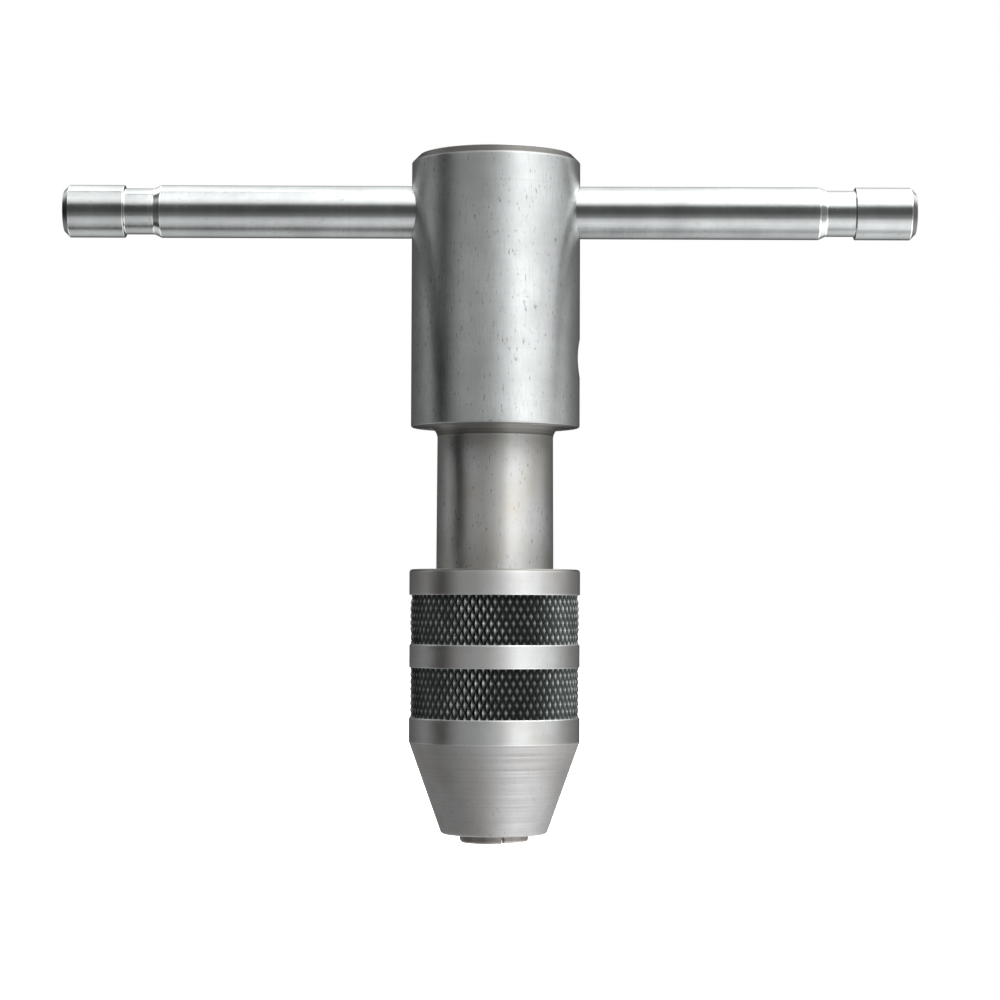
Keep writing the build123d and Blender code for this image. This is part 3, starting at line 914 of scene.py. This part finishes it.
# ---- stage, light and camera --------------------------------------------------------------------------
FLOOR_DROP = 1.0 * MM  # the sleeve's nose comes almost this far down when it is screwed down all the way
FLOOR_SIZE = 8.0  # metres


def make_floor():
    half = FLOOR_SIZE / 2
    mesh = bpy.data.meshes.new("floor")
    corners = [(-half, -half), (half, -half), (half, half), (-half, half)]
    mesh.from_pydata([(x, y, -FLOOR_DROP) for x, y in corners], [], [[0, 1, 2, 3]])
    floor = add_object("floor", mesh)
    n = Nodes("pale_floor")
    n.shader.inputs["Base Color"].default_value = (0.92, 0.92, 0.92, 1)
    n.shader.inputs["Roughness"].default_value = 0.9
    n.shader.inputs["Emission Color"].default_value = (1, 1, 1, 1)
    n.shader.inputs["Emission Strength"].default_value = 0.95
    mesh.materials.append(n.material)
    floor.visible_glossy = False


# how the studio's light is spread round the object, by degrees to the right of the camera's side
AROUND = [
    (-180, 0.35),
    (-150, 0.70),
    (-118, 0.74),
    (-106, 0.60),
    (-99, 0.0),
    (-80, 0.0),
    (-69, 0.40),
    (-54, 0.47),
    (-30, 0.41),
    (-8, 0.54),
    (14, 0.86),
    (40, 1.75),
    (62, 1.62),
    (80, 1.48),
    (112, 1.25),
    (142, 1.15),
    (180, 0.35),
]
# and by the sine of the height: light from below, a dark band at eye height, and the soft box overhead
UPWARD = [
    (-1.0, 0.20),
    (-0.93, 0.55),
    (-0.81, 0.70),
    (-0.62, 0.58),
    (-0.40, 0.18),
    (-0.05, 0.07),
    (0.28, 0.07),
    (0.38, 0.14),
    (0.50, 0.62),
    (0.62, 1.10),
    (0.80, 1.35),
    (1.0, 1.35),
]
LIGHT_PEAK = 2.0  # above every value of both tables
STUDIO_STRENGTH = 2.5


def make_studio():
    world = bpy.data.worlds.new("studio")
    bpy.context.scene.world = world
    world.use_nodes = True
    world.node_tree.nodes.clear()
    n = NodeTree(world.node_tree)

    def curve(source, points):
        stops = [(position, value / LIGHT_PEAK) for position, value in points]
        return n.math("MULTIPLY", n.ramp(source, stops, "EASE"), LIGHT_PEAK)

    split = n.add("ShaderNodeSeparateXYZ")
    n.link(n.add("ShaderNodeTexCoord").outputs["Generated"], split.inputs["Vector"])
    x, y, z = (split.outputs[axis] for axis in "XYZ")
    azimuth = n.math("ARCTAN2", x, n.math("MULTIPLY", y, -1))
    around = n.math("MULTIPLY_ADD", azimuth, 1 / (2 * math.pi), 0.5)
    height = n.math("MULTIPLY_ADD", z, 0.5, 0.5)
    sideways = curve(around, [((degrees + 180) / 360, value) for degrees, value in AROUND])
    upward = curve(height, [((sine + 1) / 2, value) for sine, value in UPWARD])
    light = n.math("MULTIPLY", n.math("MULTIPLY", sideways, upward), STUDIO_STRENGTH)

    # the object is lit by and mirrors that light, while the camera sees plain white behind it
    lit = n.add("ShaderNodeBackground")
    n.link(light, lit.inputs["Strength"])
    lit.inputs["Color"].default_value = (0.975, 0.99, 1.0, 1)
    seen = n.add("ShaderNodeBackground")
    seen.inputs["Color"].default_value = (1, 1, 1, 1)
    mix = n.add("ShaderNodeMixShader")
    n.link(n.add("ShaderNodeLightPath").outputs["Is Camera Ray"], mix.inputs["Fac"])
    n.link(lit.outputs["Background"], mix.inputs[1])
    n.link(seen.outputs["Background"], mix.inputs[2])
    n.link(mix.outputs["Shader"], n.add("ShaderNodeOutputWorld").inputs["Surface"])


SENSOR_MM = 36.0
LENS_MM = 101.988
CAMERA_DISTANCE = 426 * MM
CAMERA_HEIGHT = 35.1 * MM
CAMERA_SIDE = 0.75 * MM
PITCH_DEG = 2.17
ROLL_DEG = 0.2


def make_camera():
    data = bpy.data.cameras.new("camera")
    data.sensor_width = SENSOR_MM
    data.lens = LENS_MM
    data.clip_start = 0.01
    camera = bpy.data.objects.new("camera", data)
    bpy.context.scene.collection.objects.link(camera)
    place = Matrix.Translation((CAMERA_SIDE, -CAMERA_DISTANCE, CAMERA_HEIGHT))
    pitch = Matrix.Rotation(math.radians(90 + PITCH_DEG), 4, "X")
    roll = Matrix.Rotation(math.radians(ROLL_DEG), 4, "Z")
    camera.matrix_world = place @ pitch @ roll
    bpy.context.scene.camera = camera


make_camera()
make_studio()
make_floor()
make_head()
make_bar()
make_spindle()
make_sleeve()
make_spring("detent_spring", "head", 1)
make_spring("pawl_spring", "selector", 0)
paint_kept()
bpy.context.scene.view_settings.view_transform = "Standard"
